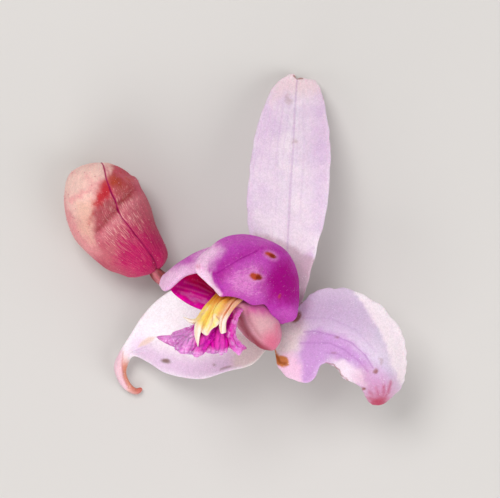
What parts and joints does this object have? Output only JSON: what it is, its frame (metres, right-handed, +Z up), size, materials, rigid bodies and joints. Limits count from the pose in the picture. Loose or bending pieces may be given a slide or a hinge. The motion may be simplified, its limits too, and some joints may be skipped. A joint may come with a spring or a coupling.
{
  "type": "pine pink orchid flower with bud",
  "caption": "Cut tip of an orchid flower spray, lying down: an open magenta flower with a ruffled lip and spreading pale sepals, and a closed rose bud on a curved stalk.",
  "frame": {"origin": "bottom centre of the bounding box, on the surface that the flower lies on", "axes": "+Z up, square to the surface; +Y along the back sepal, from the flower's hub to its tip; +X to the right lateral sepal's side"},
  "size_m": [0.0346, 0.0336, 0.0193],
  "materials": {
    "sepal": "satin, finely sparkling",
    "sepal_pale": "satin, finely sparkling",
    "petal": "satin, finely sparkling",
    "lip": "satin, granular",
    "keels": "waxy",
    "column": "waxy",
    "stem": "satin",
    "stalk": "satin",
    "bract": "dry",
    "bud_pale": "satin",
    "bud_rose": "satin"
  },
  "bodies": {
    "root": {"dorsal_sepal": "sepal", "lateral_sepal_right": "sepal", "lateral_sepal_left": "sepal_pale", "petal_near": "petal", "petal_far": "petal", "lip": "lip", "lip_keels": "keels", "column": "column", "anther_cap": "keels", "stem": "stem", "ovary": "stalk", "bud_stalk": "stalk", "flower_bract": "bract", "bud_sepal_left": "bud_pale", "bud_sepal_right": "bud_rose", "bud_sepal_back": "bud_rose", "bud_petals": "lip"}
  },
  "joints": []
}
